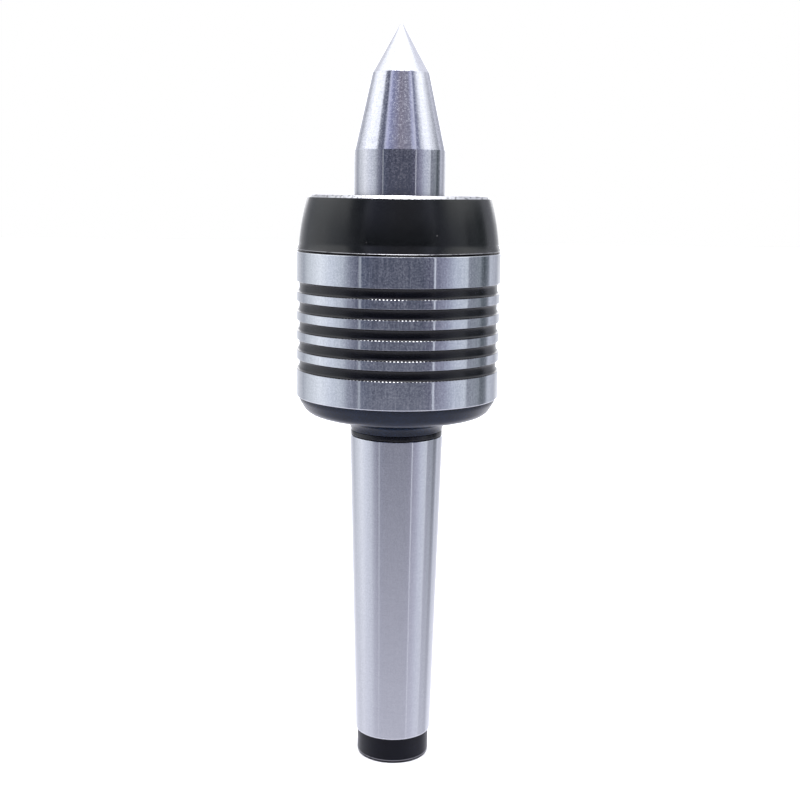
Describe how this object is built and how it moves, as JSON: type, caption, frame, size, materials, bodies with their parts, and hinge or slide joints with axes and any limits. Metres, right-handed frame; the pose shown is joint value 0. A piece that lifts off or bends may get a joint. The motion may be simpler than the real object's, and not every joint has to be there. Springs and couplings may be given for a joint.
{
  "type": "live center",
  "caption": "Revolving lathe tailstock center: a Morse taper shank and grooved bearing housing hold a free-spinning spindle with a 60 degree point behind a black screwed cap.",
  "frame": {"origin": "centre of the shank's end face, on the axis", "axes": "+Z along the axis from the shank's end to the point, +X and +Y free because the part is turned"},
  "size_m": [0.052, 0.052, 0.1909],
  "materials": {
    "ground_steel": "cylindrically ground tool steel",
    "black_oxide": "black oxide on turned steel, semi-gloss",
    "bearing_steel": "polished bearing steel",
    "cage_brass": "machined brass",
    "seal_rubber": "black nitrile rubber"
  },
  "bodies": {
    "housing": {"housing": "ground_steel", "front_cap": "black_oxide", "seal_case": "bearing_steel", "seal_lip": "seal_rubber", "seal_garter_spring": "bearing_steel", "cap_o_ring": "seal_rubber", "preload_wave_washer": "bearing_steel", "front_outer_ring": "bearing_steel", "thrust_housing_washer": "bearing_steel", "needle_cup": "bearing_steel"},
    "spindle": {"spindle": "ground_steel", "front_inner_ring": "bearing_steel", "spindle_circlip": "bearing_steel", "thrust_shaft_washer": "bearing_steel"},
    "front_cage": {"front_cage": "cage_brass", "front_ball_01": "bearing_steel", "front_ball_02": "bearing_steel", "front_ball_03": "bearing_steel", "front_ball_04": "bearing_steel", "front_ball_05": "bearing_steel", "front_ball_06": "bearing_steel", "front_ball_07": "bearing_steel", "front_ball_08": "bearing_steel", "front_ball_09": "bearing_steel"},
    "thrust_cage": {"thrust_cage": "cage_brass", "thrust_ball_01": "bearing_steel", "thrust_ball_02": "bearing_steel", "thrust_ball_03": "bearing_steel", "thrust_ball_04": "bearing_steel", "thrust_ball_05": "bearing_steel", "thrust_ball_06": "bearing_steel", "thrust_ball_07": "bearing_steel", "thrust_ball_08": "bearing_steel", "thrust_ball_09": "bearing_steel", "thrust_ball_10": "bearing_steel", "thrust_ball_11": "bearing_steel"},
    "needle_cage": {"needle_cage": "bearing_steel", "needle_01": "bearing_steel", "needle_02": "bearing_steel", "needle_03": "bearing_steel", "needle_04": "bearing_steel", "needle_05": "bearing_steel", "needle_06": "bearing_steel", "needle_07": "bearing_steel", "needle_08": "bearing_steel", "needle_09": "bearing_steel", "needle_10": "bearing_steel", "needle_11": "bearing_steel", "needle_12": "bearing_steel"}
  },
  "joints": [
    {"name": "spindle_spin", "type": "hinge", "parent": "housing", "child": "spindle", "pos_m": [0, 0, 0.124], "axis": [0, 0, 1], "continuous": true},
    {"name": "front_cage_spin", "type": "hinge", "parent": "housing", "child": "front_cage", "pos_m": [0, 0, 0.124], "axis": [0, 0, 1], "continuous": true},
    {"name": "thrust_cage_spin", "type": "hinge", "parent": "housing", "child": "thrust_cage", "pos_m": [0, 0, 0.109], "axis": [0, 0, 1], "continuous": true},
    {"name": "needle_cage_spin", "type": "hinge", "parent": "housing", "child": "needle_cage", "pos_m": [0, 0, 0.0953], "axis": [0, 0, 1], "continuous": true}
  ],
  "couplings": [
    {"joint": "front_cage_spin", "follows": "spindle_spin", "ratio": 0.3976},
    {"joint": "thrust_cage_spin", "follows": "spindle_spin", "ratio": 0.5},
    {"joint": "needle_cage_spin", "follows": "spindle_spin", "ratio": 0.425}
  ]
}
